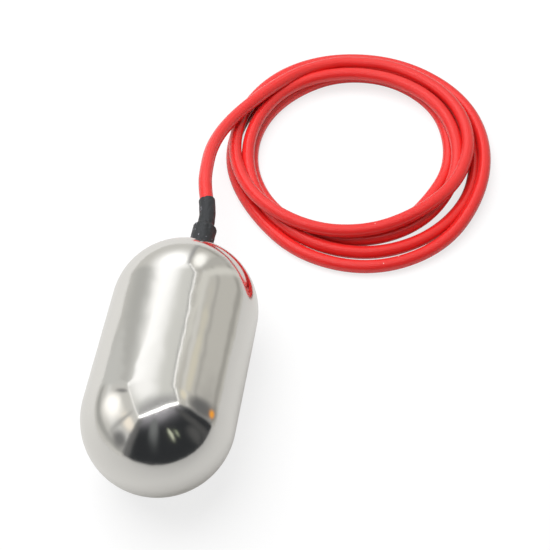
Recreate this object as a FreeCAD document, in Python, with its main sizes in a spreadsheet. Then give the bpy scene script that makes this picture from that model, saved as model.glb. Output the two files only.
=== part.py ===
import FreeCAD, Part
import math
import os
import re
import Sketcher
from FreeCAD import Placement, Rotation, Vector

# Float level switch: a stainless capsule of two drawn cups, welded at the girth, with a
# ball-operated microswitch inside and a silicone cable that leaves one pole through a gland.
# +Y runs along the capsule towards the cable. The capsule lies on its side on Z = 0, and the
# origin is the point on the floor under its middle. All lengths are in millimetres.

doc = FreeCAD.newDocument("float_level_switch")

SIZES = {
    # capsule
    "float_diameter": 70, "float_length": 128, "shell_wall": 0.8,
    "backing_width": 10, "backing_wall": 0.8,
    # clearances
    "fit_gap": 0.05, "squeeze_gap": 0.02, "seat_gap": 0.25, "touch_gap": 0.1,
    # nipple, welded into the pole
    "nipple_diameter": 10.6, "nipple_bore": 7.3, "nipple_outside": 11, "nipple_inside": 13,
    "collar_diameter": 15, "collar_thickness": 2, "nipple_chamfer": 0.5,
    "gland_pocket_diameter": 8.8, "gland_pocket_depth": 12,
    # gland
    "bush_length": 6, "washer_thickness": 0.5, "hex_across": 9, "hex_height": 3,
    # cable and sleeve
    "cable_diameter": 7, "jacket_inside": 5, "stop_ring_length": 4, "stop_ring_wall": 1.6,
    "sleeve_wall": 0.55, "sleeve_taper": 2.2, "sleeve_bend_radius": 50, "sleeve_bend_angle": 18,
    "lead_first_run": 10, "core_diameter": 1.9, "core_pitch_radius": 1.9, "core_straight": 4,
    "core_spread": 2.2, "tip_diameter": 1.2, "tip_length": 7,
    # ball and its tube
    "ball_diameter": 19.05, "ball_travel": 24, "ball_clearance": 0.275, "tube_wall": 1.6,
    "pad_thickness": 1.5, "cap_plug": 3.5, "cap_flange": 2, "tube_top": 1.5,
    # carrier
    "boss_overhang": 1, "lock_screw_place": 5, "boss_diameter": 18, "boss_flange_diameter": 22,
    "boss_flange_thickness": 3,
    "cheek_gap": 10.8, "cheek_thickness": 2.5, "cheek_wide": 29, "cheek_narrow": 15,
    "cheek_foot": -2, "cheek_shoulder": 26, "cheek_waist": 31, "ball_relief": 3,
    "lock_screw_diameter": 3, "lock_screw_length": 2.8,
    # centring disc
    "disc_thickness": 3, "disc_top": -24, "rim_width": 2, "rim_height": 5, "disc_holes": 6,
    "disc_hole_diameter": 13, "disc_hole_circle": 45, "shoulder_diameter": 27,
    "shoulder_thickness": 3, "clip_thickness": 1.2, "clip_diameter": 26, "clip_groove": 0.6,
    "clip_opening": 40,
    # microswitch
    "switch_face": 8, "switch_height": 16, "switch_length": 27.9, "switch_width": 10.3,
    "cover_thickness": 1.5, "switch_hole_diameter": 3.2, "switch_hole_pitch": 22.2,
    "switch_hole_step": 10.3, "switch_hole_edge": 2.85,
    "hinge_reach": 1.2, "hinge_offset": 11, "plunger_offset": 5, "lever_lift": 13,
    "lever_length": 20.5, "lever_width": 4.6, "lever_thickness": 0.4, "lever_tip_diameter": 1.2,
    "pin_diameter": 1, "eye_diameter": 1.9, "ear_thickness": 1, "ear_height": 2.4,
    "plunger_diameter": 3, "plunger_length": 6, "plunger_bore_depth": 5.5,
    "tab_length": 6.5, "tab_width": 4.8, "tab_thickness": 0.5, "tab_pitch": 9, "tab_root": 2,
    "tab_hole_diameter": 1.6,
    # fasteners
    "screw_diameter": 3, "screw_head_diameter": 5.5, "screw_head_height": 2.4,
    "nut_across": 5.5, "nut_height": 2.4, "screw_proud": 1,
    # coil: two layers of loose turns
    "layer_height": 7, "coil_edge_radius": 2.8,
    "lower_outer_x": 68, "lower_outer_y": 163.5, "lower_outer_diameter": 150.4,
    "lower_inner_x": 64, "lower_inner_y": 162.3, "lower_inner_diameter": 102,
    "upper_outer_x": 65, "upper_outer_y": 167, "upper_outer_diameter": 132.4,
    "upper_inner_x": 65.2, "upper_inner_y": 161.6, "upper_inner_diameter": 105.8,
}

sheet = doc.addObject("Spreadsheet::Sheet", "Sizes")
for row, (alias, number) in enumerate(SIZES.items(), start=1):
    sheet.set(f"A{row}", alias)
    sheet.set(f"B{row}", str(number))
    sheet.setAlias(f"B{row}", alias)
doc.recompute()


def named(formula):
    """Formula with its size names turned into references to the sheet."""
    return re.sub("[a-z_]+", lambda word: ("Sizes." if word[0] in SIZES else "") + word[0], str(formula))


def value(formula):
    """Number that a formula of size names gives."""
    result = sheet.evalExpression(named(formula))
    return float(getattr(result, "Value", result))


# Places worked out from the sizes. "Along" is measured on +Y from the capsule's middle.
AXIS_HEIGHT = "(float_diameter / 2)"
INNER_RADIUS = "(float_diameter / 2 - shell_wall)"
DOME_START = "(float_length / 2 - float_diameter / 2)"
POLE = "(float_length / 2)"
STEM_RADIUS = "(nipple_diameter / 2)"
STEM_HOLE_RADIUS = "(nipple_diameter / 2 + fit_gap)"
CABLE_RADIUS = "(cable_diameter / 2)"
NIPPLE_TOP = "(float_length / 2 + nipple_outside)"
NIPPLE_FOOT = "(float_length / 2 - nipple_inside)"
COLLAR_TOP = f"({DOME_START} + sqrt({INNER_RADIUS} ^ 2 - (collar_diameter / 2) ^ 2) - fit_gap)"
COLLAR_FOOT = f"({COLLAR_TOP} - collar_thickness)"
POCKET_FLOOR = f"({NIPPLE_TOP} - gland_pocket_depth)"
HEX_TOP = f"({NIPPLE_TOP} + hex_height)"
BEND_START = f"({HEX_TOP} + sleeve_taper + fit_gap)"
JACKET_END = f"({NIPPLE_FOOT} - jacket_inside)"
BALL_RADIUS = "(ball_diameter / 2)"
BORE_RADIUS = "(ball_diameter / 2 + ball_clearance)"
TUBE_RADIUS = f"({BORE_RADIUS} + tube_wall)"
HINGE_PLACE = "(switch_face - hinge_reach)"
BALL_TOP = (f"({HINGE_PLACE} - ({BALL_RADIUS} + lever_thickness / 2 + seat_gap"
            " + hinge_offset * sin(lever_lift)) / cos(lever_lift))")
BALL_REST = f"({BALL_TOP} - ball_travel)"
PAD_TOP = f"({BALL_REST} - {BALL_RADIUS} - touch_gap)"
CAP_SEAT = f"({PAD_TOP} - pad_thickness)"
TUBE_FOOT = f"({CAP_SEAT} - cap_plug)"
TERMINAL_END = "(switch_face + switch_height + tab_length)"
TERMINAL_FOOT = "(switch_face + switch_height - tab_root)"
LOCK_PLACE = f"({NIPPLE_FOOT} + lock_screw_place)"
SWITCH_HOLES = [
    ("switch_face + switch_height - switch_hole_edge", "-switch_hole_pitch / 2"),
    ("switch_face + switch_height - switch_hole_edge - switch_hole_step", "switch_hole_pitch / 2")]
PLUNGER_CENTRE = (f"({HINGE_PLACE} + (lever_thickness / 2 + plunger_diameter / 2 + touch_gap"
                  " - (hinge_offset - plunger_offset) * sin(lever_lift)) / cos(lever_lift))")

# Corners of the cable's way from the sleeve down onto the coil, on (x, y, z).
LEAD_ROUTE = [
    (-7.3, 119, 32), (-8.6, 136, 26.5), (-6.9, 153, 21), (-1.8, 168.5, 17.8), (6.3, 182, 17.3),
    (15.5, 196, 16), (26.4, 210, 13.8), (40, 220.8, 11.6), (55, 227, 10.8)]
# Corners of the free cores' way, from where the jacket ends inside the coil.
END_ROUTE = [
    (104.5, 129.5, 3.5), (98, 124.8, 2.3), (91.5, 121.2, 1.3), (85.5, 118.5, 1), (80, 117.3, 1)]


def bind(thing, path, formula):
    """Tie one property of an object to a formula of the sheet."""
    thing.setExpression(path, named(formula))


def new_body(name):
    """Empty body whose own Y axis is the capsule's axis."""
    body = doc.addObject("PartDesign::Body", name)
    body.Label = name
    bind(body, "Placement.Base.z", AXIS_HEIGHT)
    return body


def new_sketch(body, plane, shift="0"):
    """Sketch on an origin plane of the body, moved along the plane's normal."""
    sketch = body.newObject("Sketcher::SketchObject", f"{body.Name}_outline")
    origin_plane = next(item for item in body.Origin.OriginFeatures if item.Role == plane)
    sketch.AttachmentSupport = [(origin_plane, "")]
    sketch.MapMode = "FlatFace"
    if shift != "0":
        bind(sketch, "AttachmentOffset.Base.z", shift)
    return sketch


def fix_point(sketch, curve, end, across, along):
    """Hold one end of a curve at a place given by formulas; None leaves that way free."""
    for kind, formula, axis in (("DistanceX", across, -2), ("DistanceY", along, -1)):
        if formula is None:
            continue
        if formula == "0":
            sketch.addConstraint(Sketcher.Constraint("PointOnObject", curve, end, axis))
            continue
        rule = Sketcher.Constraint(kind, -1, 1, curve, end, value(formula))
        bind(sketch, f"Constraints[{sketch.addConstraint(rule)}]", formula)


def draw_polygon(sketch, corners):
    """Closed outline of straight lines through corners given as (across, along)."""
    points = [Vector(value(across), value(along), 0) for across, along in corners]
    first = sketch.GeometryCount
    count = len(points)
    for index in range(count):
        sketch.addGeometry(Part.LineSegment(points[index], points[(index + 1) % count]), False)
    for index in range(count):
        following = first + (index + 1) % count
        sketch.addConstraint(Sketcher.Constraint("Coincident", first + index, 2, following, 1))
    for index, (across, along) in enumerate(corners):
        fix_point(sketch, first + index, 1, across, along)


def draw_circle(sketch, across, along, radius):
    """Circle held by its centre and radius."""
    circle = Part.Circle(Vector(value(across), value(along), 0), Vector(0, 0, 1), value(radius))
    index = sketch.addGeometry(circle, False)
    fix_point(sketch, index, 3, across, along)
    rule = Sketcher.Constraint("Radius", index, value(radius))
    bind(sketch, f"Constraints[{sketch.addConstraint(rule)}]", radius)


def draw_axis(sketch, across, along):
    """Upright construction line, which a revolution then turns about."""
    foot = Vector(value(across), value(along), 0)
    index = sketch.addGeometry(Part.LineSegment(foot, foot + Vector(0, 1, 0)), True)
    fix_point(sketch, index, 1, across, along)
    sketch.addConstraint(Sketcher.Constraint("Vertical", index))
    sketch.addConstraint(Sketcher.Constraint("Distance", index, 1.0))


def feature(body, kind, name, sketch):
    """PartDesign feature made from a sketch, recomputed before the next one reads it."""
    made = body.newObject(f"PartDesign::{kind}", f"{body.Name}_{name}")
    made.Profile = sketch
    sketch.Visibility = False
    return made


def turn(body, name, corners, cut=False, angle="360"):
    """Revolve a polygon, drawn as (radius, along), about the capsule's axis."""
    sketch = new_sketch(body, "XY_Plane")
    draw_polygon(sketch, corners)
    made = feature(body, "Groove" if cut else "Revolution", name, sketch)
    made.ReferenceAxis = (sketch, ["V_Axis"])
    bind(made, "Angle", angle)
    doc.recompute()
    return made


def ring(inner, outer, foot, top):
    """Corners of a plain ring's section."""
    return [(inner, foot), (outer, foot), (outer, top), (inner, top)]


def block(body, name, corners, width, cut=False, plane="YZ_Plane"):
    """Pad or pocket of a polygon, as deep on one side of its plane as on the other."""
    sketch = new_sketch(body, plane)
    draw_polygon(sketch, corners)
    return deepen(body, name, sketch, width, cut)


def deepen(body, name, sketch, width, cut=False):
    """Pad or pocket a sketch by half the width on each side of its plane."""
    made = feature(body, "Pocket" if cut else "Pad", name, sketch)
    made.SideType = "Symmetric"
    bind(made, "Length", width)
    doc.recompute()
    return made


def drill(body, name, centres, radius, width, plane="YZ_Plane"):
    """Round holes right through, at centres given in the plane."""
    sketch = new_sketch(body, plane)
    for across, along in centres:
        draw_circle(sketch, across, along, radius)
    return deepen(body, name, sketch, width, cut=True)


# ---------------------------------------------------------------- capsule

def drawn_cup(name):
    """Half of the capsule: a short cylinder with a half-round dome, open at the girth."""
    body = new_body(name)
    sketch = new_sketch(body, "XY_Plane")
    outer, inner = value("float_diameter / 2"), value(INNER_RADIUS)
    start = value(DOME_START)
    centre = Vector(0, start, 0)
    up = Vector(0, 0, 1)
    outer_side, outer_dome, pole_edge, inner_dome, inner_side, rim = (
        sketch.addGeometry(curve, False) for curve in (
            Part.LineSegment(Vector(outer, 0, 0), Vector(outer, start, 0)),
            Part.ArcOfCircle(Part.Circle(centre, up, outer), 0, math.pi / 2),
            Part.LineSegment(Vector(0, start + outer, 0), Vector(0, start + inner, 0)),
            Part.ArcOfCircle(Part.Circle(centre, up, inner), 0, math.pi / 2),
            Part.LineSegment(Vector(inner, start, 0), Vector(inner, 0, 0)),
            Part.LineSegment(Vector(inner, 0, 0), Vector(outer, 0, 0))))
    joins = ((outer_side, 2, outer_dome, 1), (outer_dome, 2, pole_edge, 1),
             (pole_edge, 2, inner_dome, 2), (inner_dome, 1, inner_side, 1),
             (inner_side, 2, rim, 1), (rim, 2, outer_side, 1))
    for join in joins:
        sketch.addConstraint(Sketcher.Constraint("Coincident", *join))
    fix_point(sketch, outer_side, 1, "float_diameter / 2", "0")
    fix_point(sketch, outer_dome, 1, "float_diameter / 2", DOME_START)
    fix_point(sketch, outer_dome, 3, "0", DOME_START)
    fix_point(sketch, outer_dome, 2, "0", None)
    fix_point(sketch, inner_side, 2, INNER_RADIUS, "0")
    fix_point(sketch, inner_dome, 1, INNER_RADIUS, DOME_START)
    fix_point(sketch, inner_dome, 3, "0", DOME_START)
    fix_point(sketch, inner_dome, 2, "0", None)
    made = feature(body, "Revolution", "dome", sketch)
    made.ReferenceAxis = (sketch, ["V_Axis"])
    made.Angle = 360
    doc.recompute()
    return body


def make_capsule():
    """Two drawn cups and the strip that backs their girth weld."""
    pierced = drawn_cup("cable_end_shell")
    turn(pierced, "pole_hole", ring("0", STEM_HOLE_RADIUS, DOME_START, f"{POLE} + shell_wall"), cut=True)
    blind = drawn_cup("blind_end_shell")
    blind.Placement = Placement(blind.Placement.Base, Rotation(Vector(0, 0, 1), 180))
    bind(blind, "Placement.Base.z", AXIS_HEIGHT)
    strip = new_body("weld_backing_ring")
    inner = f"{INNER_RADIUS} - backing_wall - fit_gap"
    turn(strip, "band", ring(inner, f"{INNER_RADIUS} - fit_gap", "-backing_width / 2", "backing_width / 2"))


# ---------------------------------------------------------------- nipple and gland

def make_nipple():
    """Turned nipple: a collar seats inside the dome, the stem stands out of the pole."""
    body = new_body("cable_nipple")
    bore = "nipple_bore / 2"
    pocket = "gland_pocket_diameter / 2"
    turn(body, "turning", [
        (bore, NIPPLE_FOOT), (f"{STEM_RADIUS} - nipple_chamfer", NIPPLE_FOOT),
        (STEM_RADIUS, f"{NIPPLE_FOOT} + nipple_chamfer"), (STEM_RADIUS, COLLAR_FOOT),
        ("collar_diameter / 2", COLLAR_FOOT), ("collar_diameter / 2", COLLAR_TOP),
        (STEM_RADIUS, COLLAR_TOP), (STEM_RADIUS, f"{NIPPLE_TOP} - nipple_chamfer"),
        (f"{STEM_RADIUS} - nipple_chamfer", NIPPLE_TOP), (pocket, NIPPLE_TOP),
        (pocket, POCKET_FLOOR), (bore, POCKET_FLOOR)])


def make_gland():
    """Rubber bush, washer and hollow hex screw that squeeze the bush onto the cable."""
    outer = "gland_pocket_diameter / 2 - fit_gap"
    bush_top = f"({POCKET_FLOOR} + bush_length)"
    washer_top = f"({bush_top} + washer_thickness)"
    turn(new_body("seal_bush"), "turning",
         ring(f"{CABLE_RADIUS} + squeeze_gap", outer, POCKET_FLOOR, bush_top))
    turn(new_body("gland_washer"), "turning", ring("nipple_bore / 2", outer, bush_top, washer_top))
    screw = new_body("gland_screw")
    turn(screw, "thread", ring("nipple_bore / 2", outer, washer_top, HEX_TOP))
    sketch = new_sketch(screw, "XZ_Plane", f"-({NIPPLE_TOP})")
    across_corners = "hex_across / sqrt(3)"
    draw_polygon(sketch, [(f"{across_corners} * cos({60 * k})" if k != 0 else across_corners,
                           f"{across_corners} * sin({60 * k})") for k in range(6)])
    draw_circle(sketch, "0", "0", "nipple_bore / 2")
    head = feature(screw, "Pad", "hex", sketch)
    bind(head, "Length", "hex_height")
    head.Reversed = True
    doc.recompute()


def bent_end(body, name, radii):
    """Carry a round section on from the straight stretch through the sleeve's bend."""
    sketch = new_sketch(body, "XZ_Plane", f"-({BEND_START})")
    for radius in radii:
        draw_circle(sketch, "0", "0", radius)
    draw_axis(sketch, "-sleeve_bend_radius", "0")
    made = feature(body, "Revolution", name, sketch)
    made.ReferenceAxis = (sketch, ["Axis0"])
    bind(made, "Angle", "sleeve_bend_angle")
    doc.recompute()


def make_sleeve():
    """Shrunk sleeve: wide over the nipple, tapering onto the cable, with a slight bend."""
    body = new_body("heat_shrink_sleeve")
    wide = f"({STEM_RADIUS} + fit_gap)"
    tight = f"({CABLE_RADIUS} + fit_gap)"
    foot = f"({DOME_START} + sqrt((float_diameter / 2) ^ 2 - {wide} ^ 2) + touch_gap)"
    turn(body, "cuff", [
        (wide, foot), (f"{wide} + sleeve_wall", foot),
        (f"{wide} + sleeve_wall", f"{HEX_TOP} + fit_gap"),
        (f"{tight} + sleeve_wall", BEND_START), (tight, BEND_START),
        (wide, f"{HEX_TOP} + fit_gap")])
    bent_end(body, "bend", (tight, f"{tight} + sleeve_wall"))


def make_held_cable():
    """Cable inside the nipple and the sleeve, and the ring crimped on behind the nipple."""
    body = new_body("cable_jacket_end")
    turn(body, "straight", ring("0", CABLE_RADIUS, JACKET_END, BEND_START))
    bent_end(body, "bend", (CABLE_RADIUS,))
    top = f"({NIPPLE_FOOT} - seat_gap)"
    turn(new_body("pull_stop_ring"), "crimp",
         ring(f"{CABLE_RADIUS} + squeeze_gap", f"{CABLE_RADIUS} + stop_ring_wall",
              f"{top} - stop_ring_length", top))


# ---------------------------------------------------------------- carrier

def make_carrier():
    """Moulding clamped behind the collar: boss, two cheeks for the switch, tube for the ball."""
    body = new_body("switch_carrier")
    flange_foot = f"({NIPPLE_FOOT} - boss_overhang)"
    flange_top = f"({flange_foot} + boss_flange_thickness)"
    turn(body, "boss", [
        (STEM_HOLE_RADIUS, flange_foot), ("boss_flange_diameter / 2", flange_foot),
        ("boss_flange_diameter / 2", flange_top), ("boss_diameter / 2", flange_top),
        ("boss_diameter / 2", f"{COLLAR_FOOT} - squeeze_gap"),
        (STEM_HOLE_RADIUS, f"{COLLAR_FOOT} - squeeze_gap")])
    waist = [("cheek_foot", "cheek_wide / 2"), ("cheek_shoulder", "cheek_wide / 2"),
             ("cheek_waist", "cheek_narrow / 2"), (flange_top, "cheek_narrow / 2")]
    mirrored = [(along, f"-({height})") for along, height in reversed(waist)]
    block(body, "cheeks", waist + mirrored, "cheek_gap + 2 * cheek_thickness")
    groove_foot = "(disc_top - disc_thickness - clip_thickness - touch_gap)"
    turn(body, "tube", [
        ("0", TUBE_FOOT), (TUBE_RADIUS, TUBE_FOOT), (TUBE_RADIUS, groove_foot),
        (f"{TUBE_RADIUS} - clip_groove", groove_foot),
        (f"{TUBE_RADIUS} - clip_groove", "disc_top - disc_thickness"),
        (TUBE_RADIUS, "disc_top - disc_thickness"), (TUBE_RADIUS, "disc_top"),
        ("shoulder_diameter / 2", "disc_top"),
        ("shoulder_diameter / 2", "disc_top + shoulder_thickness"),
        (TUBE_RADIUS, "disc_top + shoulder_thickness"), (TUBE_RADIUS, "tube_top"), ("0", "tube_top")])
    slot = [("tube_top", "-cheek_wide"), (flange_foot, "-cheek_wide"),
            (flange_foot, "cheek_wide"), ("tube_top", "cheek_wide")]
    block(body, "slot", slot, "cheek_gap", cut=True)
    turn(body, "bore", ring("0", BORE_RADIUS, f"{TUBE_FOOT} - 1", "tube_top + ball_relief"), cut=True)
    turn(body, "stem_hole", ring("0", STEM_HOLE_RADIUS, flange_foot, COLLAR_FOOT), cut=True)
    drill(body, "screw_holes", SWITCH_HOLES, "switch_hole_diameter / 2", "3 * cheek_gap")
    drill(body, "lock_holes", [(LOCK_PLACE, "0")], "lock_screw_diameter / 2 + fit_gap", "3 * cheek_gap")


def make_lock_screws():
    """Two grub screws through the boss, set against the nipple from opposite sides."""
    body = new_body("carrier_lock_screws")
    body.AllowCompound = True
    near = f"({STEM_RADIUS} + touch_gap)"
    for side, name in ((1, "right"), (-1, "left")):
        sketch = new_sketch(body, "YZ_Plane", near if side == 1 else f"-({near} + lock_screw_length)")
        draw_circle(sketch, LOCK_PLACE, "0", "lock_screw_diameter / 2")
        raise_up(body, name, sketch, "lock_screw_length")


def make_disc():
    """Disc with a rim that keeps the tube's far end on the axis, lightened by six holes."""
    body = new_body("centring_disc")
    outer = f"({INNER_RADIUS} - fit_gap - touch_gap)"
    inner_rim = f"({outer} - rim_width)"
    lip = "(rim_height - disc_thickness) / 2"
    foot, top = "(disc_top - disc_thickness)", "disc_top"
    turn(body, "web", [
        (f"{TUBE_RADIUS} + fit_gap", foot), (inner_rim, foot), (inner_rim, f"{foot} - {lip}"),
        (outer, f"{foot} - {lip}"), (outer, f"{top} + {lip}"), (inner_rim, f"{top} + {lip}"),
        (inner_rim, top), (f"{TUBE_RADIUS} + fit_gap", top)])
    sketch = new_sketch(body, "XZ_Plane", "-disc_top + disc_thickness / 2")
    draw_circle(sketch, "disc_hole_circle / 2", "0", "disc_hole_diameter / 2")
    hole = deepen(body, "hole", sketch, "2 * disc_thickness", cut=True)
    pattern = body.newObject("PartDesign::PolarPattern", "centring_disc_holes")
    pattern.Originals = [hole]
    pattern.Axis = (sketch, ["N_Axis"])
    pattern.Angle = 360
    body.Tip = pattern
    bind(pattern, "Occurrences", "disc_holes")
    doc.recompute()


def make_tube_fittings():
    """Clip under the disc, plug in the tube's foot and the pad that the ball rests on."""
    groove = f"({TUBE_RADIUS} - clip_groove + touch_gap)"
    foot = "(disc_top - disc_thickness - clip_thickness)"
    turn(new_body("retaining_clip"), "strip",
         ring(groove, "clip_diameter / 2", foot, "disc_top - disc_thickness"),
         angle="360 - clip_opening")
    plug = f"({BORE_RADIUS} - fit_gap)"
    turn(new_body("tube_end_cap"), "turning", [
        ("0", f"{TUBE_FOOT} - cap_flange"), (TUBE_RADIUS, f"{TUBE_FOOT} - cap_flange"),
        (TUBE_RADIUS, TUBE_FOOT), (plug, TUBE_FOOT), (plug, CAP_SEAT), ("0", CAP_SEAT)])
    turn(new_body("stop_pad"), "disc", ring("0", f"{BORE_RADIUS} - seat_gap", CAP_SEAT, PAD_TOP))


def make_ball():
    """Steel ball at rest on its pad, at the blind end of the tube."""
    ball = doc.addObject("Part::Sphere", "steel_ball")
    ball.Label = "steel_ball"
    bind(ball, "Radius", BALL_RADIUS)
    bind(ball, "Placement.Base.y", BALL_REST)
    bind(ball, "Placement.Base.z", AXIS_HEIGHT)
    doc.recompute()


# ---------------------------------------------------------------- microswitch

def box_corners(foot, top, low, high):
    """Corners of an upright rectangle."""
    return [(foot, low), (top, low), (top, high), (foot, high)]


def off_centre(body, name, corners, start, length):
    """Pad of a polygon from one side plane to another along X."""
    sketch = new_sketch(body, "YZ_Plane", start)
    draw_polygon(sketch, corners)
    return raise_up(body, name, sketch, length)


def raise_up(body, name, sketch, length):
    """Pad a sketch to one side, along its plane's normal."""
    made = feature(body, "Pad", name, sketch)
    bind(made, "Length", length)
    doc.recompute()
    return made


def make_switch_case():
    """Moulded case and cover of a V3 microswitch, with lever ears, bore and terminal slots."""
    case = new_body("switch_case")
    side = box_corners("switch_face", "switch_face + switch_height",
                       "-switch_length / 2", "switch_length / 2")
    off_centre(case, "block", side, "-switch_width / 2", "switch_width - cover_thickness")
    ear = box_corners(f"{HINGE_PLACE} - ear_height / 2", "switch_face", "-hinge_offset - ear_height / 2",
                      "-hinge_offset + ear_height / 2")
    block(case, "ears", ear, "lever_width + 2 * seat_gap + 2 * ear_thickness")
    block(case, "lever_gap", ear, "lever_width + 2 * seat_gap", cut=True)
    drill(case, "pin_holes", [(HINGE_PLACE, "-hinge_offset")], "pin_diameter / 2 + squeeze_gap",
          "2 * lever_width")
    drill(case, "screw_holes", SWITCH_HOLES, "switch_hole_diameter / 2", "2 * switch_width")
    sketch = new_sketch(case, "XZ_Plane", "-switch_face - plunger_bore_depth / 2")
    draw_circle(sketch, "0", "-plunger_offset", "plunger_diameter / 2 + touch_gap")
    deepen(case, "plunger_bore", sketch, "plunger_bore_depth", cut=True)
    for step in (-1, 0, 1):
        sketch = new_sketch(case, "XY_Plane", f"{step} * tab_pitch")
        half = "(tab_width / 2 + fit_gap)"
        draw_polygon(sketch, box_corners(f"-{half}", half, f"{TERMINAL_FOOT} - fit_gap",
                                         "switch_face + switch_height"))
        deepen(case, "tab_slot", sketch, "tab_thickness + 2 * fit_gap", cut=True)
    cover = new_body("switch_cover")
    off_centre(cover, "plate", side, "switch_width / 2 - cover_thickness", "cover_thickness")
    drill(cover, "screw_holes", SWITCH_HOLES, "switch_hole_diameter / 2", "2 * switch_width")


def make_lever():
    """Pin and roll-tipped lever; the lever is drawn flat and then set out towards the ball."""
    pin = new_body("lever_pin")
    sketch = new_sketch(pin, "YZ_Plane")
    draw_circle(sketch, HINGE_PLACE, "-hinge_offset", "pin_diameter / 2")
    deepen(pin, "rod", sketch, "lever_width + 2 * seat_gap + 2 * ear_thickness")
    body = doc.addObject("PartDesign::Body", "switch_lever")
    body.Label = "switch_lever"
    half = "lever_thickness / 2"
    blade = box_corners(f"-{half}", half, "0", "lever_length")
    block(body, "blade", blade, "lever_width")
    for name, height, radius in (("eye", "0", "eye_diameter / 2"),
                                 ("tip", "lever_length", "lever_tip_diameter / 2")):
        sketch = new_sketch(body, "YZ_Plane")
        draw_circle(sketch, "0", height, radius)
        deepen(body, name, sketch, "lever_width")
    drill(body, "pin_hole", [("0", "0")], "pin_diameter / 2 + fit_gap", "2 * lever_width")
    body.Placement = Placement(Vector(0, 0, 0), Rotation(Vector(1, 0, 0), value("lever_lift")))
    bind(body, "Placement.Base.y", HINGE_PLACE)
    bind(body, "Placement.Base.z", f"{AXIS_HEIGHT} - hinge_offset")
    bind(body, "Placement.Rotation.Angle", "lever_lift")
    doc.recompute()


def make_plunger():
    """Round-nosed plunger that the lever presses into the case."""
    body = new_body("switch_plunger")
    sketch = new_sketch(body, "XY_Plane", "-plunger_offset")
    radius = value("plunger_diameter / 2")
    centre = Vector(0, value(PLUNGER_CENTRE), 0)
    top = value(f"{PLUNGER_CENTRE} + plunger_length - plunger_diameter / 2")
    nose, side, end, spine = (
        sketch.addGeometry(curve, False) for curve in (
            Part.ArcOfCircle(Part.Circle(centre, Vector(0, 0, 1), radius), -math.pi / 2, 0),
            Part.LineSegment(Vector(radius, centre.y, 0), Vector(radius, top, 0)),
            Part.LineSegment(Vector(radius, top, 0), Vector(0, top, 0)),
            Part.LineSegment(Vector(0, top, 0), Vector(0, centre.y - radius, 0))))
    for join in ((nose, 2, side, 1), (side, 2, end, 1), (end, 2, spine, 1), (spine, 2, nose, 1)):
        sketch.addConstraint(Sketcher.Constraint("Coincident", *join))
    fix_point(sketch, nose, 3, "0", PLUNGER_CENTRE)
    fix_point(sketch, nose, 2, "plunger_diameter / 2", PLUNGER_CENTRE)
    fix_point(sketch, nose, 1, "0", None)
    plunger_top = f"{PLUNGER_CENTRE} + plunger_length - plunger_diameter / 2"
    fix_point(sketch, side, 2, "plunger_diameter / 2", plunger_top)
    fix_point(sketch, end, 2, "0", plunger_top)
    made = feature(body, "Revolution", "turning", sketch)
    made.ReferenceAxis = (sketch, ["V_Axis"])
    made.Angle = 360
    doc.recompute()


def make_terminals():
    """Three solder tabs, rooted in the case and pierced near their ends."""
    for name, step in (("terminal_normally_closed", "-1"), ("terminal_common", "0"),
                       ("terminal_normally_open", "1")):
        body = new_body(name)
        sketch = new_sketch(body, "XY_Plane", f"{step} * tab_pitch")
        draw_polygon(sketch, box_corners("-tab_width / 2", "tab_width / 2", TERMINAL_FOOT, TERMINAL_END))
        draw_circle(sketch, "0", f"{TERMINAL_END} - tab_width / 2", "tab_hole_diameter / 2")
        deepen(body, "tab", sketch, "tab_thickness")


def make_switch_fasteners():
    """Two screws and nuts that hold the switch between the cheeks."""
    outside = "(cheek_gap / 2 + cheek_thickness)"
    screws = new_body("switch_screws")
    screws.AllowCompound = True
    nuts = new_body("switch_nuts")
    nuts.AllowCompound = True
    shank = f"2 * {outside} + nut_height + screw_proud"
    for number, (along, height) in enumerate(SWITCH_HOLES, start=1):
        sketch = new_sketch(screws, "YZ_Plane", f"-{outside}")
        draw_circle(sketch, along, height, "screw_diameter / 2")
        raise_up(screws, f"shank_{number}", sketch, shank)
        sketch = new_sketch(screws, "YZ_Plane", f"-{outside} - screw_head_height")
        draw_circle(sketch, along, height, "screw_head_diameter / 2")
        raise_up(screws, f"head_{number}", sketch, "screw_head_height")
        sketch = new_sketch(nuts, "YZ_Plane", outside)
        corner = "nut_across / sqrt(3)"
        draw_polygon(sketch, [(f"{along} + {corner} * cos({60 * k})", f"{height} + {corner} * sin({60 * k})")
                              for k in range(6)])
        draw_circle(sketch, along, height, "screw_diameter / 2 + squeeze_gap")
        raise_up(nuts, f"nut_{number}", sketch, "nut_height")


# ---------------------------------------------------------------- cable

def rounded_route(points):
    """Wire of straight runs joined by tangent arcs, with the radii of the arcs."""
    edges, radii = [], []
    start = points[0]
    for before, corner, after in zip(points, points[1:], points[2:]):
        back = (before - corner).normalize()
        ahead = (after - corner).normalize()
        shorter = min((before - corner).Length, (after - corner).Length)
        half_turn = (math.pi - back.getAngle(ahead)) / 2
        cut = 0.45 * shorter
        entry, leave = corner + back * cut, corner + ahead * cut
        radius = cut / math.tan(half_turn)
        middle_reach = radius / math.cos(half_turn) - radius
        middle = corner + (back + ahead).normalize() * middle_reach
        edges += [Part.LineSegment(start, entry).toShape(), Part.Arc(entry, middle, leave).toShape()]
        radii.append(radius)
        start = leave
    edges.append(Part.LineSegment(start, points[-1]).toShape())
    return Part.Wire(edges), radii


def swept(name, points, radius):
    """Round solid along a rounded route, as an object of its own."""
    wire, radii = rounded_route([Vector(*point) for point in points])
    ahead = Vector(*points[1]) - Vector(*points[0])
    section = Part.Wire(Part.Circle(Vector(*points[0]), ahead, radius).toShape())
    made = doc.addObject("Part::Feature", name)
    made.Label = name
    made.Shape = wire.makePipeShell([section], True, True)
    ideal = math.pi * radius ** 2 * wire.Length
    print(f"{name}: length {wire.Length:.1f}, least radius {min(radii):.1f},"
          f" volume / (section x length) {made.Shape.Volume / ideal:.4f}")
    return made


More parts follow.
